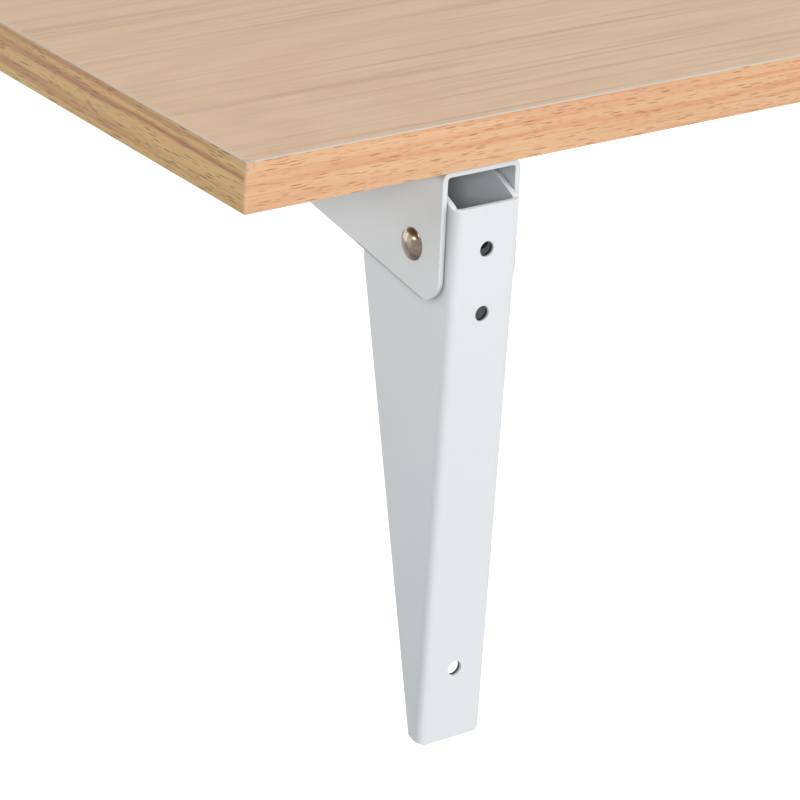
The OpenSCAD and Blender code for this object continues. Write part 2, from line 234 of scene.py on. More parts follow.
def unfolded(side, flat_half):
    """Points (down, h) of a flange's side view, laid flat: the bend unrolls to its arc length."""
    down, h = side[:, 0], side[:, 1]
    in_bend = bend_r * np.arccos(np.clip(1 - down / bend_r, 0, 1))
    s = np.where(down < bend_r, in_bend, bend_len + down - bend_r)
    return np.stack([flat_half + s, h], 1)


def folded(blank, depth, flat_half):
    """Where points (s, h) of the blank lie once folded, at a depth into the sheet: flat as far as
    flat_half, then round the bend's axis by arc length over radius, then straight down."""
    s, h = blank[:, 0], blank[:, 1]
    beyond = np.abs(s) - flat_half
    turn = np.clip(beyond / bend_r, 0, math.pi / 2)
    across = np.where(beyond > 0, flat_half + (bend_r - depth) * np.sin(turn), np.abs(s))
    down = bend_r - (bend_r - depth) * np.cos(turn) + np.maximum(beyond - bend_len, 0)
    return np.stack([np.sign(s) * across, down, h], 1)


def finely(loop, flat_half, step=0.6):
    """The loop with its lines over the bends cut into short steps."""
    nxt = np.roll(loop, -1, 0)
    low = np.minimum(np.abs(loop[:, 0]), np.abs(nxt[:, 0]))
    high = np.maximum(np.abs(loop[:, 0]), np.abs(nxt[:, 0]))
    bent = (high > flat_half) & (low < flat_half + bend_len)
    parts = np.where(bent, np.ceil(np.linalg.norm(nxt - loop, axis=1) / step), 1).astype(int)
    which = np.repeat(np.arange(len(loop)), parts)
    share = np.concatenate([np.arange(n) / n for n in parts])[:, None]
    return loop[which] * (1 - share) + nxt[which] * share


def inside(points, loops):
    """True where a point is inside the first loop and outside the others, by counting crossings."""
    a = np.concatenate(loops)
    b = np.concatenate([np.roll(loop, -1, 0) for loop in loops])
    x, y = points[:, 0][:, None], points[:, 1][:, None]
    spans = (a[:, 1] > y) != (b[:, 1] > y)
    rise = np.where(b[:, 1] == a[:, 1], 1, b[:, 1] - a[:, 1])
    crossed = spans & (x < a[:, 0] + (y - a[:, 1]) * (b[:, 0] - a[:, 0]) / rise)
    return crossed.sum(1) % 2 == 1


def skin(loops, flat_half):
    """Triangles over one face of the blank, with a lattice of points along both bends that keeps
    clear of the loops."""
    rim = np.concatenate(loops)
    bend_steps, lattice_step, clear = 8, 5.0, 0.7
    s, h = np.meshgrid(
        flat_half + bend_len * np.arange(bend_steps + 1) / bend_steps,
        np.arange(rim[:, 1].min() + 2, rim[:, 1].max() - 1, lattice_step))
    lattice = np.concatenate([np.stack([k * s.ravel(), h.ravel()], 1) for k in (-1, 1)])
    lattice = lattice[inside(lattice, loops)]
    lattice = lattice[np.linalg.norm(lattice[:, None] - rim[None], axis=2).min(1) > clear]
    edges, start = [], 0
    for loop in loops:
        edges += [(start + i, start + (i + 1) % len(loop)) for i in range(len(loop))]
        start += len(loop)
    flat = np.concatenate([rim, lattice])
    made = delaunay_2d_cdt([Vector(p) for p in flat.tolist()], edges, [], 0, 1e-6)
    back = np.array([origin[0] for origin in made[3]])
    triangles = back[np.array(made[2])]
    return lattice, triangles[inside(flat[triangles].mean(1), loops)]


def folded_sheet(name, loops, flat_half, place, material):
    """A folded sheet. Each loop of the blank gives its points at a depth into the sheet, and has
    its rounding. The cut edge is a quarter circle, a straight and a quarter circle carried along
    every loop, and triangles fill both faces. place turns (across, down, h) into a point of the
    table."""
    turn = np.linspace(0, math.pi / 2, 4)
    quarter = np.stack([1 - np.sin(turn), 1 - np.cos(turn)], 1)
    points, faces, total = [], [], 0
    outer, inner = [], []
    for loop, rounding in loops:
        edge = rounding * quarter
        edge = np.concatenate([edge, [[i, sheet_t - d] for i, d in edge[::-1]]])
        rows = [inset(loop(depth), by) for by, depth in edge]
        count = len(rows[0])
        points += [folded(row, depth, flat_half) for row, (_, depth) in zip(rows, edge)]
        faces += quads(len(edge), count, False, True, total).tolist()
        outer.append((rows[0], total + np.arange(count)))
        inner.append((rows[-1], total + (len(edge) - 1) * count + np.arange(count)))
        total += len(edge) * count
    for skins, depth in ((outer, 0.0), (inner, sheet_t)):
        lattice, triangles = skin([row for row, _ in skins], flat_half)
        index = np.concatenate([np.concatenate([i for _, i in skins]), total + np.arange(len(lattice))])
        points.append(folded(lattice, depth, flat_half))
        faces += index[triangles].tolist()
        total += len(lattice)
    piece = put_mesh(name, place(np.concatenate(points)), faces, material)
    piece.modifiers.new("even_faces", "WEIGHTED_NORMAL").weight = 80
    return piece


def steady(loop, rounding):
    """A loop that is the same at every depth, with its rounding."""
    return (lambda depth: loop), rounding


def flange_holes(flat_half, *holes):
    """Loops of the round holes (down, h, radius, steps) that go through both flanges."""
    flange_s = flat_half + bend_len - bend_r
    return [
        steady(ring(k * (flange_s + down), h, r, steps), hole_round)
        for k in (-1, 1) for down, h, r, steps in holes]


def new_material(name, **sockets):
    """A Principled material with these constants, its node tree and its shader. Spaces in socket
    names are written as _."""
    made = bpy.data.materials.new(name)
    made.use_nodes = True
    shader = made.node_tree.nodes["Principled BSDF"]
    for key, value in sockets.items():
        shader.inputs[key.replace("_", " ")].default_value = value
    return made, made.node_tree, shader


def where(tree, scale=(1, 1, 1)):
    """Object coordinates, stretched."""
    place = node(tree, "TexCoord").outputs["Object"]
    return node(tree, "Mapping", {"Vector": place, "Scale": scale}).outputs[0]


def noise(tree, vector, scale, detail=2.0, roughness=0.5, distortion=0.0):
    """Soft noise from 0 to 1."""
    made = node(tree, "TexNoise", {
        "Vector": vector, "Scale": scale, "Detail": detail, "Roughness": roughness,
        "Distortion": distortion})
    return made.outputs["Fac"]


def ramp(tree, factor, *stops):
    """Colours or greys at positions along a ramp."""
    made = node(tree, "ValToRGB", {"Fac": factor})
    line = made.color_ramp.elements
    while len(line) < len(stops):
        line.new(0.5)
    for element, (position, colour) in zip(line, stops):
        element.position = position
        element.color = (colour,) * 3 + (1,) if isinstance(colour, float) else (*colour, 1)
    return made.outputs["Color"]


def blend(tree, factor, a, b, how="MIX"):
    """Mixes two colours. A mix node takes colours at its inputs 6 and 7 and gives one at output 2."""
    made = node(tree, "Mix", {}, data_type="RGBA", blend_type=how)
    for socket, value in ((made.inputs[0], factor), (made.inputs[6], a), (made.inputs[7], b)):
        if isinstance(value, bpy.types.NodeSocket):
            tree.links.new(value, socket)
        else:
            socket.default_value = value if isinstance(value, float) else (*value, 1)
    return made.outputs[2]


def fade(tree, value, low, high, start=0.0, stop=1.0):
    """Goes evenly from start to stop as the value goes from low to high, and holds beyond them."""
    return node(tree, "MapRange", {
        "Value": value, "From Min": low, "From Max": high, "To Min": start, "To Max": stop}).outputs[0]


def bump(tree, shader, height, strength, distance):
    """Makes a height stand out of the surface, by a strength over a distance in metres."""
    made = node(tree, "Bump", {"Height": height, "Strength": strength, "Distance": distance})
    tree.links.new(made.outputs[0], shader.inputs["Normal"])


def in_bracket(tree):
    """A point's x, measured from the middle of its own bracket, its y and its z."""
    place = node(tree, "SeparateXYZ", {"Vector": where(tree)}).outputs
    beside = reckon(tree, "SUBTRACT", reckon(tree, "ABSOLUTE", place["X"]), sides[1][1] * mm)
    return beside, place["Y"], place["Z"]


def shade_in_screw_holes(tree):
    """1 on the inner part of the screw holes' walls, which are painted dark as shade in the holes."""
    shade_from, slack = 0.8, 0.14
    beside, y, z = in_bracket(tree)
    nearest = 1.0
    for hole_z in screw_hole_z:
        reach = node(tree, "CombineXYZ", {"X": beside, "Y": reckon(tree, "SUBTRACT", z, hole_z * mm)})
        away = node(tree, "VectorMath", {0: reach.outputs[0]}, operation="LENGTH")
        nearest = reckon(tree, "MINIMUM", away.outputs["Value"], nearest)
    near = reckon(tree, "LESS_THAN", nearest, (screw_hole_r + slack) * mm)
    return reckon(tree, "MULTIPLY", near, reckon(tree, "LESS_THAN", y, -shade_from * mm))


def shade_round_lock_pin(tree):
    """1 on the inner faces of the wall channels round the lock pin, fading out above and below. It
    masks painted shade, a grey for the shade deep inside the channel."""
    beside, y, z = in_bracket(tree)
    inner = reckon(tree, "COMPARE", beside, 0.0, (wall_flat + 1.2) * mm)
    inner = reckon(tree, "MULTIPLY", inner, reckon(tree, "LESS_THAN", y, (0.1 - sheet_t) * mm))
    above = fade(tree, z, 50 * mm, 64 * mm, 1.0, 0.0)
    return reckon(tree, "MULTIPLY", inner, fade(tree, z, 5 * mm, 32 * mm, 0.0, above))


def shade_down_the_cheeks(tree):
    """Rises from 0 at the top of a bracket's cheeks to 1 at the foot, and is 0 on the web. It masks
    painted shade, which darkens the cheeks toward the foot."""
    beside, _, z = in_bracket(tree)
    cheek = fade(tree, reckon(tree, "ABSOLUTE", beside), (wall_flat + 1.2) * mm, (wall_flat + 2.9) * mm)
    return reckon(tree, "MULTIPLY", cheek, fade(tree, z, wall_bottom * mm, wall_top * mm, 1.0, 0.0))


def along_edge(tree, start, stop):
    """0.5 on the line through two points (y, z), fading out within 1 mm of it, and to 0 further
    out than the wall channel reaches."""
    (y0, z0), (y1, z1) = start, stop
    across = np.array([0, z1 - z0, y0 - y1]) / math.hypot(y1 - y0, z1 - z0)
    off = node(tree, "VectorMath", {0: where(tree), 1: across}, operation="DOT_PRODUCT")
    off = reckon(tree, "SUBTRACT", off.outputs["Value"], (across @ (0, y0, z0)) * mm)
    line = fade(tree, reckon(tree, "ABSOLUTE", off), 0.45 * mm, 1.0 * mm, 0.5, 0.0)
    y = node(tree, "SeparateXYZ", {"Vector": where(tree)}).outputs["Y"]
    return fade(tree, y, -(widest_low[0] + 3) * mm, -widest_low[0] * mm, 0.0, line)


coat_low, coat_high = (0.81, 0.832, 0.85), (0.84, 0.858, 0.872)
# Painted shade: the greys below darken the cheeks toward the foot, the inside round the lock pin, the coat
# close beside other pieces, the screw holes' walls and a line under the ears.
cheek_shade_grey, inner_shade_grey = (0.65, 0.68, 0.705), (0.22, 0.228, 0.234)
contact_shade_grey, hole_shade_grey, edge_shadow_grey = (0.02, 0.024, 0.028), (0.05, 0.056, 0.06), (0.06, 0.066, 0.07)
contact_shade_reach = 4.5


def powder_coat(name, shadow_edge=None):
    """White powder coat: a faint orange peel, slightly uneven gloss and a trace of tone. Painted shade
    darkens it down the cheeks, round the lock pin, in the screw holes and close beside other pieces.
    Along its second argument, a line through two points (y, z), a painted shadow line darkens it."""
    made, tree, shader = new_material(name, Roughness=0.4, Specular_IOR_Level=0.45)
    colour = ramp(tree, noise(tree, where(tree), 14, 3.0), (0.3, coat_low), (0.7, coat_high))
    # Painted shade: the cheeks darken toward the foot.
    colour = blend(tree, shade_down_the_cheeks(tree), colour, cheek_shade_grey)
    # Painted shade: the inner faces round the lock pin are grey.
    colour = blend(tree, shade_round_lock_pin(tree), colour, inner_shade_grey)
    # Painted shade: ambient occlusion greys the coat close beside other pieces.
    contact_shade = node(tree, "AmbientOcclusion", {"Distance": contact_shade_reach * mm}, samples=8)
    colour = blend(tree, fade(tree, contact_shade.outputs["AO"], 0.4, 1.0, 0.36, 0.0), colour, contact_shade_grey)
    # Painted shade: the inner part of the screw holes' walls is dark.
    colour = blend(tree, shade_in_screw_holes(tree), colour, hole_shade_grey)
    # Painted shadow: a dark line along the given edge, under the ears.
    if shadow_edge:
        colour = blend(tree, along_edge(tree, *shadow_edge), colour, edge_shadow_grey)
    tree.links.new(colour, shader.inputs["Base Color"])
    gloss = ramp(tree, noise(tree, where(tree), 60, 3.0), (0.3, 0.36), (0.7, 0.46))
    tree.links.new(gloss, shader.inputs["Roughness"])
    bump(tree, shader, noise(tree, where(tree), 900, 2.0), 0.12, 0.0001)
    return made


wall_paint = powder_coat("wall_powder_coat")


def mirrored_outline(half):
    """A whole outline from its half with positive first coordinates, which is listed again
    backwards with their sign turned."""
    half = np.asarray(half, float)
    return np.concatenate([half, half[::-1] * (-1, 1)])


def touching(point, way):
    """Angle at which a line from the point touches the round head, seen from the pivot."""
    ahead, up = point[0] - pivot_out, point[1] - pivot_z
    return math.atan2(up, ahead) + way * math.acos(head_r / math.hypot(ahead, up))


head_turn = np.linspace(touching(widest_high, 1), touching((sheet_t, wall_top), -1), 48)
head = np.stack([pivot_out + head_r * np.cos(head_turn), pivot_z + head_r * np.sin(head_turn)], 1)
wall_side = np.concatenate([
    [(0, wall_bottom)],
    corner_arc((0, wall_bottom), foot, widest_low, 0.5, 4),
    corner_arc(foot, widest_low, widest_high, 2),
    corner_arc(widest_low, widest_high, head[0], 2),
    head,
    [(sheet_t, wall_top), (0, wall_top)],
])
wall_loops = [steady(finely(mirrored_outline(unfolded(wall_side, wall_flat)), wall_flat), paint_round)]
wall_loops += [steady(ring(0, z, screw_hole_r), hole_round) for z in screw_hole_z]
wall_loops += flange_holes(wall_flat, (pivot_out, pivot_z, bore_r, 48), (lock_out, lock_z, lock_r, 48))

for side, x0 in sides:
    channel = folded_sheet(
        side + "_wall_bracket", wall_loops, wall_flat,
        lambda p: np.stack([x0 + p[:, 0], -p[:, 1], p[:, 2]], 1), wall_paint)
    settle(channel, "wall_brackets", "white_paint", side + "_wall_channel")


# Arm channels: the bracket halves that carry the board, punched and folded from the same sheet.
# Their ears stand outside the wall channel's cheeks. A window in the web, sawn straight down
# through both bends, lets the wall channel's widest part through when the table hangs.
arm_flat = 11.6
arm_back, arm_front = 5.0, 210.0
ear_depth, tip_depth = 44.3, 8.0
ear_lean = ear_depth * math.tan(math.radians(2))
ear_r, tip_r = 8.3, 3.0
arm_screws_y = (48.0, 111.6, 152.6, 193.6)
screw_r, screw_gap = 1.75, 0.05
latch_out, latch_down, latch_r = 70.0, 6.3, 2.0
window_half = 12.6
window_y = (22.78, 41.49)

arm_side = np.concatenate([
    [(0, arm_back)],
    corner_arc((0, arm_back), (ear_depth, arm_back - ear_lean), (tip_depth, arm_front), ear_r, 16),
    corner_arc((ear_depth, arm_back - ear_lean), (tip_depth, arm_front), (0, arm_front), tip_r),
    [(0, arm_front)],
])
arm_outline = finely(mirrored_outline(unfolded(arm_side, arm_flat)), arm_flat)


def window(depth):
    """The window's outline at a depth into the sheet: its sides stay on two upright planes, so
    they move out over the bends with the depth."""
    def half(d):
        """How far from the blank's middle a side lies at a depth, so that it folds upright."""
        return arm_flat + bend_r * math.asin(min(1, (window_half - arm_flat) / (bend_r - d)))
    low, high = window_y
    w = half(0)
    corners = [(-w, low), (-w, high), (w, high), (w, low)]
    loop = np.concatenate([
        corner_arc(corners[i - 1], corners[i], corners[(i + 1) % 4], 0.8, 4) for i in range(4)])
    return finely(loop, arm_flat) * (half(depth) / w, 1)


# The arm's coat carries a painted shadow line along the ears' lower edge.
arm_paint = powder_coat("arm_powder_coat", (
    (ear_lean - arm_back, board_z - ear_depth), (-arm_front, board_z - tip_depth)))
arm_loops = [steady(arm_outline, paint_round), (window, paint_round)]
arm_loops += [steady(ring(0, y, screw_r + screw_gap, 32), hole_round) for y in arm_screws_y]
arm_loops += flange_holes(
    arm_flat, (board_z - pivot_z, pivot_out, rivet_r, 48), (latch_down, latch_out, latch_r, 32))

for side, x0 in sides:
    channel = folded_sheet(
        side + "_arm_bracket", arm_loops, arm_flat,
        lambda p: np.stack([x0 + p[:, 0], -p[:, 2], board_z - p[:, 1]], 1), arm_paint)
    settle(channel, "table", "white_paint", side + "_arm_channel")


# Pivot rivets: nickel-plated steel, one through both cheeks and both ears of each bracket. Their
# heads are pressed into low domes with a small centre mark where the tool turned.
arm_half_w = arm_flat + bend_r
dome_w, dome_h = 5.2, 2.0
mark_w, mark_deep = 0.45, 0.14
dome_rim = [(0.12, 0.03), (0, 0.08)]


def turned_piece(name, profile, y, z, x0, material, closed=False, steps=64):
    """A lathe shape: the profile (x, radius) turned about a line along X through (y, z)."""
    profile = np.asarray(profile, float)
    turn = np.linspace(0, 2 * math.pi, steps, endpoint=False)
    x = np.repeat(profile[:, :1], steps, 1) + x0
    points = np.stack([x, y + profile[:, 1:] * np.cos(turn), z + profile[:, 1:] * np.sin(turn)], 2)
    faces = quads(len(profile), steps, closed, True).tolist()
    piece = put_mesh(name, points.reshape(-1, 3), faces, material)
    piece.data.set_sharp_from_angle(angle=math.radians(35))
    return piece


def warm_nickel():
    """Nickel plate, warm and clouded by handling, with painted shade toward the heads' lower edge."""
    made, tree, shader = new_material("warm_nickel", Metallic=1.0, Roughness=0.2)
    clouds = noise(tree, where(tree), 330, 2.0, 0.5, 1.0)
    colour = ramp(
        tree, clouds, (0.36, (0.2, 0.15, 0.11)), (0.5, (0.25, 0.195, 0.15)),
        (0.64, (0.31, 0.255, 0.205)))
    z = node(tree, "SeparateXYZ", {"Vector": where(tree)}).outputs["Z"]
    # Painted shade: the heads darken toward their lower edge.
    lower_shade = fade(tree, z, (pivot_z - dome_w) * mm, (pivot_z + 2) * mm, 0.2, 1.0)
    colour = blend(tree, 1.0, colour, lower_shade, "MULTIPLY")
    tree.links.new(colour, shader.inputs["Base Color"])
    rough = ramp(tree, noise(tree, where(tree), 900, 2.0), (0.3, 0.1), (0.7, 0.18))
    tree.links.new(rough, shader.inputs["Roughness"])
    bump(tree, shader, noise(tree, where(tree), 1400, 2.0), 0.06, 0.0001)
    return made


nickel = warm_nickel()
dome_r = (dome_w**2 + dome_h**2) / (2 * dome_h)
reach = np.linspace(0, dome_w, 20)
dome = arm_half_w + dome_h - dome_r + np.sqrt(dome_r**2 - reach**2)
dome -= mark_deep * np.exp(-(reach / mark_w)**2)
rivet_profile = mirrored_outline(np.concatenate([
    np.stack([dome[:-1], reach[:-1]], 1),
    [(arm_half_w + h, dome_w - drawn_in) for h, drawn_in in dome_rim],
    [(arm_half_w, rivet_r)],
]))
for side, x0 in sides:
    rivet = turned_piece(side + "_rivet", rivet_profile, -pivot_out, pivot_z, x0, nickel)
    settle(rivet, "table", "nickel", side + "_pivot_rivet")


# Pivot spacers and lock pins: a steel tube that keeps each wall channel's cheeks apart, and the
# pin that the latch drops over, riveted flush in the cheeks.
def plated(name, dark, light, rough, metallic=1.0):
    """Plated or blackened steel with a cloudy tone and fine drawing marks."""
    made, tree, shader = new_material(name, Metallic=metallic, Roughness=rough)
    clouds = noise(tree, where(tree), 90, 4.0)
    tree.links.new(ramp(tree, clouds, (0.3, dark), (0.7, light)), shader.inputs["Base Color"])
    marks = noise(tree, where(tree, (1, 30, 30)), 60, 3.0)
    tree.links.new(ramp(tree, marks, (0.3, rough - 0.06), (0.7, rough + 0.08)), shader.inputs["Roughness"])
    bump(tree, shader, marks, 0.08, 0.0001)
    return made


zinc = plated("zinc_plate", (0.5, 0.51, 0.53), (0.64, 0.65, 0.67), 0.32)
black_steel = plated("black_steel", (0.035, 0.037, 0.04), (0.07, 0.072, 0.076), 0.42, 0.6)
cheek_half = wall_flat + bend_r
spacer_half = cheek_half - sheet_t
spacer_r, spacer_bevel = 6.0, 0.3
pin_bevel = 0.25


def tube_section(half_long, bore, r, bevel):
    """A tube's closed section (x, radius): a rectangle with its four corners cut at 45 degrees."""
    near = half_long - bevel
    return [(-half_long, bore + bevel), (-half_long, r - bevel), (-near, r), (near, r),
            (half_long, r - bevel), (half_long, bore + bevel), (near, bore), (-near, bore)]


spacer_section = tube_section(spacer_half, bore_r, spacer_r, spacer_bevel)
lock_profile = mirrored_outline([
    (cheek_half, 0), (cheek_half, lock_r - pin_bevel), (cheek_half - pin_bevel, lock_r)])
for side, x0 in sides:
    spacer = turned_piece(
        side + "_spacer_tube", spacer_section, -pivot_out, pivot_z, x0, black_steel, closed=True)
    settle(spacer, "wall_brackets", "dark_steel", side + "_pivot_spacer")
    lock = turned_piece(side + "_locking_pin", lock_profile, -lock_out, lock_z, x0, zinc, steps=40)
    settle(lock, "wall_brackets", "zinc", side + "_lock_pin")


# Latch levers: black bent steel on the latch pins, drawn pressed, as they are stored. The nose's
# notch drops over the lock pin, and the finger tab hangs just under the arm.
def softened(name, solid, width, material):
    """A copy of a node's solid with doubles merged, flat faces made whole and edges rounded."""
    shape = bmesh.new()
    shape.from_mesh(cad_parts[solid].data)
    bmesh.ops.remove_doubles(shape, verts=shape.verts, dist=1e-6)
    bmesh.ops.dissolve_limit(
        shape, angle_limit=math.radians(2), verts=shape.verts, edges=shape.edges)
    mesh = bpy.data.meshes.new(name)
    shape.to_mesh(mesh)
    shape.free()
    mesh.shade_smooth()
    mesh.materials.append(material)
    piece = bpy.data.objects.new(name, mesh)
    bpy.context.scene.collection.objects.link(piece)
    rounding = piece.modifiers.new("rounded_edges", "BEVEL")
    rounding.width = width
    rounding.segments = 2
    rounding.limit_method = "ANGLE"
    rounding.angle_limit = math.radians(30)
    rounding.harden_normals = True
    return piece


for side, x0 in sides:
    lever = softened(side + "_lever", side + "_latch_lever", 0.3 * mm, black_steel)
    settle(lever, side + "_latch", "dark_steel", side + "_latch_lever")


# Latch pins, bushes and springs: the pin is riveted in the ears, two nylon tubes keep the lever
# in its middle, and a coil of spring wire round it pushes the lever.
lever_half, lever_out, lever_sheet = 8.5, 3.5, 2.0
arm_in_half = arm_half_w - sheet_t
latch_z = board_z - latch_down
pin_head = [(1.2, 0), (1.1, 1.6), (0.8, 2.6), (0.15, 3.4), (0, 3.45)]
bush_bore, bush_r, bush_bevel, bush_gap = 2.05, 3.2, 0.2, 0.1
wire_d, coil_r, coil_step, turns, leg = 0.9, 3.4, 1.15, 6, 20.0
tab_angle = 40


def moulded_nylon():
    """Natural nylon: a soft, slightly translucent off-white."""
    made, tree, shader = new_material(
        "natural_nylon", Roughness=0.45, Subsurface_Weight=0.15, Subsurface_Scale=0.001)
    tone = noise(tree, where(tree), 120, 3.0)
    tree.links.new(
        ramp(tree, tone, (0.3, (0.8, 0.785, 0.73)), (0.7, (0.86, 0.845, 0.8))),
        shader.inputs["Base Color"])
    bump(tree, shader, noise(tree, where(tree), 800, 2.0), 0.06, 0.0001)
    return made


nylon = moulded_nylon()


def wire(name, path, radius, x0, y, z, material, steps=12):
    """A round wire carried along a path that is laid out round the point (x0, y, z). Its section's
    axes are the part of X square to the path, and the line square to both."""
    along = np.gradient(path, axis=0)
    along /= np.linalg.norm(along, axis=1)[:, None]
    u = np.array([1.0, 0, 0]) - along * along[:, :1]
    u /= np.linalg.norm(u, axis=1)[:, None]
    v = np.cross(along, u)
    turn = np.linspace(0, 2 * math.pi, steps, endpoint=False)[:, None, None]
    tube = (path + radius * (np.cos(turn) * u + np.sin(turn) * v)).transpose(1, 0, 2)
    tube = np.concatenate([np.repeat(path[:1, None], steps, 1), tube, np.repeat(path[-1:, None], steps, 1)])
    points = (tube + (x0, y, z)).reshape(-1, 3)
    return put_mesh(name, points, quads(len(tube), steps, False, True).tolist(), material)


# The first leg lies under the web, toward the wall. The other one runs along the lever's tab arm,
# tilted so that its end stops just short of the tab's sheet.
leg_gap = 0.05
leg_tilt = math.degrees(math.asin((coil_r + lever_out - lever_sheet - wire_d / 2 - leg_gap) / leg))
coil_from = 90.0
coil_to = coil_from + turns * 360 + tab_angle + leg_tilt
coil_turn = np.radians(np.linspace(coil_from, coil_to, 32 * turns))
coil_x = coil_step * ((np.degrees(coil_turn) - coil_from) / 360 - turns / 2)
coil = np.stack([coil_x, coil_r * np.cos(coil_turn), coil_r * np.sin(coil_turn)], 1)


def spring_leg(at, turn, way):
    """A straight leg that leaves the coil along its tangent."""
    ahead = np.array([0, -math.sin(turn), math.cos(turn)]) * way
    return at + ahead * np.linspace(leg, leg / 20, 12)[:, None]


spring_path = np.concatenate([
    spring_leg(coil[0], coil_turn[0], -1), coil, spring_leg(coil[-1], coil_turn[-1], 1)[::-1]])
pin_profile = mirrored_outline([(arm_half_w + h, r) for h, r in pin_head] + [(arm_half_w, latch_r)])
bush_half = (arm_in_half - lever_half) / 2 - bush_gap
bush_x = (arm_in_half + lever_half) / 2
bush_section = tube_section(bush_half, bush_bore, bush_r, bush_bevel)
for side, x0 in sides:
    spring = wire(side + "_spring", spring_path, wire_d / 2, x0, -latch_out, latch_z, zinc)
    settle(spring, "table", "zinc", side + "_latch_spring")
    pin = turned_piece(side + "_lever_pin", pin_profile, -latch_out, latch_z, x0, zinc, steps=48)
    settle(pin, "table", "zinc", side + "_latch_pin")
    for place, sign in (("inner", -1), ("outer", 1)):
        bush = turned_piece(
            side + "_bush_" + place, bush_section, -latch_out, latch_z, x0 + sign * bush_x, nylon,
            closed=True, steps=40)
        settle(bush, "table", "bush_plastic", side + "_latch_bushes")


# Board: 16 mm particle board with oak-pattern laminate on both faces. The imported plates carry
# the finish.
top_half, back_y, front_y = 400.0, 4.0, 404.0
board_t = 16.0
face_light, face_mid, face_streak = (0.745, 0.52, 0.34), (0.72, 0.495, 0.322), (0.635, 0.415, 0.272)


def scuffed(tree, colour):
    """Mixes a patchy grey into a colour within 4 mm of the board's upper corner by the wall, on
    the right, where the edge is rubbed."""
    corner = tuple(v * mm for v in (top_half, -back_y, board_z + board_t))
    away = node(tree, "VectorMath", {
        0: node(tree, "TexCoord").outputs["Object"], 1: corner}, operation="DISTANCE")
    near = fade(tree, away.outputs["Value"], 1 * mm, 4 * mm, 1.0, 0.0)
    patches = ramp(tree, noise(tree, where(tree), 900, 2.0), (0.45, 0.0), (0.6, 0.7))
    return blend(tree, reckon(tree, "MULTIPLY", near, patches), colour, (0.34, 0.32, 0.3))


def wood_face(name):
    """Oak-pattern laminate: an even base with a faint cathedral figure, soft thin streaks along X
    that wander and fade in patches, and a very fine grain."""
    made, tree, shader = new_material(name, Roughness=0.42, Specular_IOR_Level=0.4)
    sway = noise(tree, where(tree, (3.0, 14, 1)), 1.0, 3.0)
    spot = node(tree, "VectorMath", {0: where(tree, (1.3, 12.0, 1.0)), 1: sway}, operation="ADD")
    arches = node(tree, "TexWave", {
        "Vector": spot.outputs[0], "Scale": 2.6, "Distortion": 1.6, "Detail": 3.0,
        "Detail Scale": 1.6, "Detail Roughness": 0.6}, wave_type="RINGS", rings_direction="Z")
    figure = ramp(tree, arches.outputs["Fac"], (0.2, face_light), (0.9, face_mid))
    streaks = ramp(tree, noise(tree, where(tree, (5, 330, 1)), 1.0, 2.0, 0.5, 0.9), (0.5, 0.0), (0.64, 1.0))
    patches = ramp(tree, noise(tree, where(tree, (5, 22, 1)), 1.0, 1.0), (0.42, 0.25), (0.6, 1.0))
    colour = blend(tree, reckon(tree, "MULTIPLY", streaks, patches), figure, face_streak)
    grain = noise(tree, where(tree, (90, 1500, 1)), 1.0, 3.0, 0.6)
    colour = blend(tree, 1.0, colour, ramp(tree, grain, (0.35, 0.93), (0.65, 1.0)), "MULTIPLY")
    colour = scuffed(tree, colour)
    tree.links.new(colour, shader.inputs["Base Color"])
    gloss = ramp(tree, noise(tree, where(tree, (20, 300, 1)), 1.0, 3.0), (0.3, 0.36), (0.7, 0.5))
    tree.links.new(gloss, shader.inputs["Roughness"])
    bump(tree, shader, grain, 0.06, 0.0002)
    return made


def particle_board():
    """Raw particle board: pressed chips in several tones."""
    made, tree, shader = new_material("raw_particle_board", Roughness=0.85)
    chips = node(tree, "TexVoronoi", {
        "Vector": where(tree, (1, 1, 3)), "Scale": 260, "Randomness": 1.0})
    tone = blend(tree, 0.5, chips.outputs["Color"], (0.6, 0.6, 0.6))
    colour = blend(tree, 0.55, (0.6, 0.45, 0.28), tone, "MULTIPLY")
    tree.links.new(colour, shader.inputs["Base Color"])
    bump(tree, shader, chips.outputs["Distance"], 0.3, 0.0005)
    return made


def dress(node_name, material):
    """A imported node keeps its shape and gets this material."""
    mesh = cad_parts[node_name].data
    mesh.materials.clear()
    mesh.materials.append(material)


oak_face = wood_face("oak_laminate")
dress("top_laminate", oak_face)
dress("bottom_laminate", oak_face)
dress("tabletop_core", particle_board())


# Edge bands: 1 mm oak-pattern strips glued round the board and trimmed, so that a pale line
# shows along their upper corner. The end strips are darker and more yellow than the long ones.
band_t, band_round = 1.0, 0.22


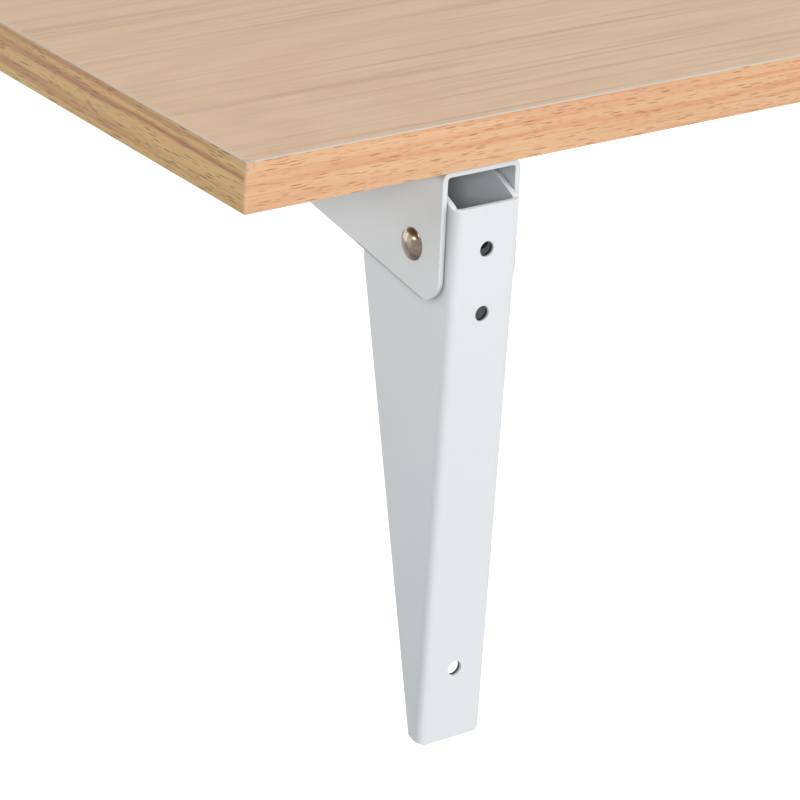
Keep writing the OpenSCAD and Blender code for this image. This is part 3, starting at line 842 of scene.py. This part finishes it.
def band_oak(name, tones, heart_z, heart_w):
    """Oak-pattern edge, the same along X and Y: a mottled base, thin soft streaks, fine lines, two
    sizes of short dark dashes, and a pale cut along the top. One strong streak, heart_w to either
    side, wanders about the height heart_z."""
    base, light, streak, dash, cut = tones
    made, tree, shader = new_material(name, Roughness=0.45, Specular_IOR_Level=0.4)
    drift = noise(tree, where(tree, (14, 14, 130)), 1.0, 2.0)
    colour = ramp(tree, drift, (0.38, base), (0.62, light))
    soft = ramp(tree, noise(tree, where(tree, (5, 5, 420)), 1.0, 3.0, 0.5, 0.4), (0.5, 0.0), (0.66, 0.7))
    colour = blend(tree, soft, colour, streak)
    lines = ramp(tree, noise(tree, where(tree, (14, 14, 1500)), 1.0, 2.0), (0.54, 0.0), (0.7, 0.6))
    colour = blend(tree, lines, colour, streak)

    place = node(tree, "SeparateXYZ", {"Vector": where(tree)}).outputs
    sway = noise(tree, where(tree, (10, 10, 0)), 1.0, 2.0)
    wander = fade(tree, sway, 0.3, 0.7, (heart_z - 1.8) * mm, (heart_z + 1.8) * mm)
    off = reckon(tree, "ABSOLUTE", reckon(tree, "SUBTRACT", place["Z"], wander))
    heart = fade(tree, off, 0.2 * heart_w * mm, heart_w * mm, 0.9, 0.0)
    torn = ramp(tree, noise(tree, where(tree, (9, 9, 900)), 1.0, 2.0), (0.38, 0.35), (0.58, 1.0))
    colour = blend(tree, reckon(tree, "MULTIPLY", heart, torn), colour, streak)

    along = reckon(tree, "ADD", place["X"], place["Y"])
    strip = node(tree, "CombineXYZ", {"X": along, "Y": place["Z"]}).outputs[0]
    wobble = noise(tree, where(tree, (40, 40, 400)), 1.0, 2.0)
    pores = 0.0
    for scale, depth in (((80, 1080, 1), 0.9), ((125, 1450, 1), 0.6)):
        cell = node(tree, "Mapping", {"Vector": strip, "Scale": scale})
        cell = node(tree, "VectorMath", {0: cell.outputs[0], 1: wobble}, operation="ADD")
        cell = node(tree, "TexVoronoi", {"Vector": cell.outputs[0], "Scale": 1.0}, voronoi_dimensions="2D")
        body = fade(tree, cell.outputs["Distance"], 0.12, 0.22, depth, 0.0)
        chance = ramp(tree, cell.outputs["Color"], (0.3, 0.0), (0.75, 1.0))
        pores = reckon(tree, "MAXIMUM", reckon(tree, "MULTIPLY", body, chance), pores)
    colour = blend(tree, pores, colour, dash)

    upper = board_z + board_t
    trim = fade(tree, place["Z"], (upper - 0.25) * mm, (upper - 0.1) * mm)
    colour = scuffed(tree, blend(tree, trim, colour, cut))
    tree.links.new(colour, shader.inputs["Base Color"])
    bump(tree, shader, pores, -0.15, 0.0002)
    return made


long_oak = band_oak("oak_long_edge", (
    (0.80, 0.478, 0.266), (0.85, 0.527, 0.3), (0.735, 0.333, 0.181), (0.48, 0.17, 0.08),
    (0.66, 0.61, 0.55)), 104, 1.5)
end_oak = band_oak("oak_end_edge", (
    (0.66, 0.41, 0.161), (0.71, 0.465, 0.193), (0.41, 0.155, 0.062), (0.14, 0.045, 0.016),
    (0.62, 0.51, 0.43)), 106.5, 1.0)


def band_profile():
    """The strip's section (out, up): square inside, quarter circles at both outer corners."""
    square = [(0, 0), (band_t, 0), (band_t, board_t), (0, board_t)]
    return np.concatenate([
        [square[0]], corner_arc(*square[:3], band_round), corner_arc(*square[1:], band_round),
        [square[3]]])


def edge_strip(name, node_name, start, stop, out, material):
    """The section carried along a straight line from start to stop, facing out. Its ends have a
    small bevel, made by drawing in the section, and are closed by one that is drawn to a point."""
    start, stop, out = (np.array(p, float) for p in (start, stop, out))
    section = band_profile()
    along = (stop - start) / np.linalg.norm(stop - start)
    length = np.linalg.norm(stop - start)
    middle = section.mean(0)
    end_bevel, end_size = 0.12, 0.991
    stations = [(0, 0.0), (0, end_size), (end_bevel, 1.0),
                (length - end_bevel, 1.0), (length, end_size), (length, 0.0)]
    points = []
    for at, size in stations:
        flat = middle + (section - middle) * size
        points.append(start + along * at + flat[:, :1] * out + flat[:, 1:] * (0, 0, 1))
    faces = quads(len(stations), len(section), False, True).tolist()
    piece = put_mesh(name, np.concatenate(points), faces, material)
    piece.data.set_sharp_from_angle(angle=math.radians(50))
    settle(piece, "table", "oak_edge", node_name)


band_y = -back_y - band_t, band_t - front_y
edge_strip("back_strip", "back_edge_band", (-top_half, band_y[0], board_z),
           (top_half, band_y[0], board_z), (0, 1, 0), long_oak)
edge_strip("front_strip", "front_edge_band", (-top_half, band_y[1], board_z),
           (top_half, band_y[1], board_z), (0, -1, 0), long_oak)
for side, sign in (("left", -1), ("right", 1)):
    band_x = sign * (top_half - band_t)
    edge_strip(side + "_strip", side + "_edge_band", (band_x, band_y[0], board_z),
               (band_x, band_y[1], board_z), (sign, 0, 0), end_oak)


# Wood screws: zinc-plated pan heads with a cross recess, four to a bracket. They go up through
# the arm channel's web into the board's particle core.
head_low, face_r, face_sag = 2.2, 2.7, 0.02
head_edge = [(3.0, 0.28), (3.4, 0.6), (3.7, 1.05), (3.75, 1.4), (3.75, 2.0), (3.6, 2.2), (screw_r, 2.2)]
cross_half, cross_reach, cross_deep, cross_zone = 0.62, 2.3, 1.2, 0.3
shank_rows, shank_from, shank_top = 44, 0.8, 8
screw_tip = 11
tip_edge = [(0.9, 1.4), (0.3, 0.2), (0, 0)]
thread_pitch, thread_deep, thread_from = 1.4, 0.32, 0.4


def screw_profile():
    """Rows (radius, z) from the middle of the head's face to the tip: a nearly flat face, the
    head's edge, an even shank and a pointed end. head_edge counts its heights from the face, and
    tip_edge counts down from the tip."""
    face_z = board_z - sheet_t - head_low
    face = np.linspace(0, face_r, 16)
    shank = np.linspace(board_z - shank_from, board_z + shank_top, shank_rows)
    return np.concatenate([
        np.stack([face, face_z + face_sag * face**2], 1),
        np.array(head_edge) + (0, face_z),
        np.stack([np.full(shank_rows, screw_r), shank], 1),
        np.array(tip_edge) * (1, -1) + (0, board_z + screw_tip)])


def wood_screw(x0, y):
    """A screw as a grid: the profile's rows by the angle. The cross is pressed into the face
    where a point is near either axis, and the thread draws the radius in along a helix."""
    turn = np.linspace(0, 2 * math.pi, 64, endpoint=False)
    profile = screw_profile()
    r, z = profile[:, :1], profile[:, 1:] + 0 * turn
    near = np.minimum(np.abs(r * np.cos(turn)), np.abs(r * np.sin(turn)))
    cross = np.clip((cross_half - near) / 0.25, 0, 1) * np.clip((cross_reach - r) / 0.5, 0, 1)
    z = z + cross_deep * cross * (z < profile[0, 1] + cross_zone)
    helix = 0.5 - 0.5 * np.cos(2 * math.pi * z / thread_pitch - turn)
    r = r - thread_deep * helix**2 * (z > board_z + thread_from) * (r > 0.5)
    return np.stack([x0 + r * np.cos(turn), -y + r * np.sin(turn), z], 2)


for side, x0 in sides:
    grids = [wood_screw(x0, y) for y in arm_screws_y]
    rows, cols = grids[0].shape[:2]
    faces = [quads(rows, cols, False, True, i * rows * cols) for i in range(len(grids))]
    points = np.concatenate([grid.reshape(-1, 3) for grid in grids])
    screws = put_mesh(side + "_screws", points, np.concatenate(faces).tolist(), zinc)
    screws.data.set_sharp_from_angle(angle=math.radians(40))
    settle(screws, "table", "zinc", side + "_arm_screws")
